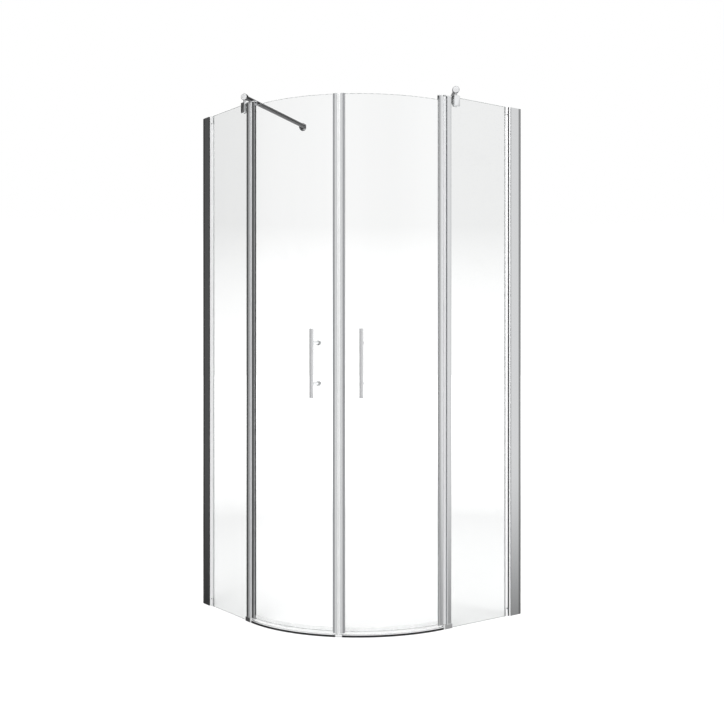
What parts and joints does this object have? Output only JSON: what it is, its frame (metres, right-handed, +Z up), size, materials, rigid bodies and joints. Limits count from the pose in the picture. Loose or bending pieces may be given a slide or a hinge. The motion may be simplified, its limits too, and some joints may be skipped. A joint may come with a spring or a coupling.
{
  "type": "quadrant shower enclosure",
  "caption": "Quadrant shower enclosure of flat fixed panes and curved hinged glass doors, with bar handles, bright profiles and stabiliser bars to the walls.",
  "frame": {"origin": "on the tray's top, at the centre of the 900 x 900 mm square that the enclosure covers", "axes": "+Z up, -X into the left wall and +Y into the right wall; the curved front looks along +X and -Y"},
  "size_m": [0.9019, 0.9019, 1.995],
  "materials": {
    "glass": "clear toughened float glass, polished",
    "bright_aluminium": "bright polished and anodised",
    "chrome": "mirror chrome plating",
    "steel": "turned stainless steel",
    "gasket": "matt grey glazing rubber",
    "seal": "translucent soft sealing strip",
    "bush_plastic": "natural acetal",
    "cap_plastic": "dark satin moulding"
  },
  "bodies": {
    "root": {"left_wall_profile": "bright_aluminium", "left_adjusting_profile": "bright_aluminium", "left_adjusting_screws": "steel", "left_fixed_glass": "glass", "left_fixed_glass_gaskets": "gasket", "left_hinge_post": "bright_aluminium", "left_pivot_head": "chrome", "left_pivot_foot": "chrome", "left_pivot_pins": "steel", "left_threshold": "bright_aluminium", "left_glass_clamp": "chrome", "left_clamp_pads": "gasket", "left_stabiliser_head": "chrome", "left_stabiliser_bar": "chrome", "left_stabiliser_eye": "chrome", "left_wall_bracket": "chrome", "left_stabiliser_fasteners": "chrome", "right_wall_profile": "bright_aluminium", "right_adjusting_profile": "bright_aluminium", "right_adjusting_screws": "steel", "right_fixed_glass": "glass", "right_fixed_glass_gaskets": "gasket", "right_hinge_post": "bright_aluminium", "right_pivot_head": "chrome", "right_pivot_foot": "chrome", "right_pivot_pins": "steel", "right_threshold": "bright_aluminium", "right_glass_clamp": "chrome", "right_clamp_pads": "gasket", "right_stabiliser_head": "chrome", "right_stabiliser_bar": "chrome", "right_stabiliser_eye": "chrome", "right_wall_bracket": "chrome", "right_stabiliser_fasteners": "chrome", "threshold_joint": "bright_aluminium"},
    "left_door": {"left_door_glass": "glass", "left_door_hinge_profile": "bright_aluminium", "left_door_glass_gaskets": "gasket", "left_hinge_bushes": "bush_plastic", "left_door_end_caps": "cap_plastic", "left_closing_profile": "bright_aluminium", "left_magnet_seal": "seal", "left_drip_seal": "seal", "left_handle_bar": "chrome", "left_handle_standoffs": "chrome", "left_handle_washers": "gasket", "left_handle_knobs": "chrome"},
    "right_door": {"right_door_glass": "glass", "right_door_hinge_profile": "bright_aluminium", "right_door_glass_gaskets": "gasket", "right_hinge_bushes": "bush_plastic", "right_door_end_caps": "cap_plastic", "right_closing_profile": "bright_aluminium", "right_magnet_seal": "seal", "right_drip_seal": "seal", "right_handle_bar": "chrome", "right_handle_standoffs": "chrome", "right_handle_washers": "gasket", "right_handle_knobs": "chrome"}
  },
  "joints": [
    {"name": "left_door_hinge", "type": "hinge", "parent": "root", "child": "left_door", "pos_m": [-0.072, -0.4395, 0.975], "axis": [0, 0, -1], "range_deg": [0, 95]},
    {"name": "right_door_hinge", "type": "hinge", "parent": "root", "child": "right_door", "pos_m": [0.4395, 0.072, 0.975], "axis": [0, 0, 1], "range_deg": [0, 95]}
  ]
}
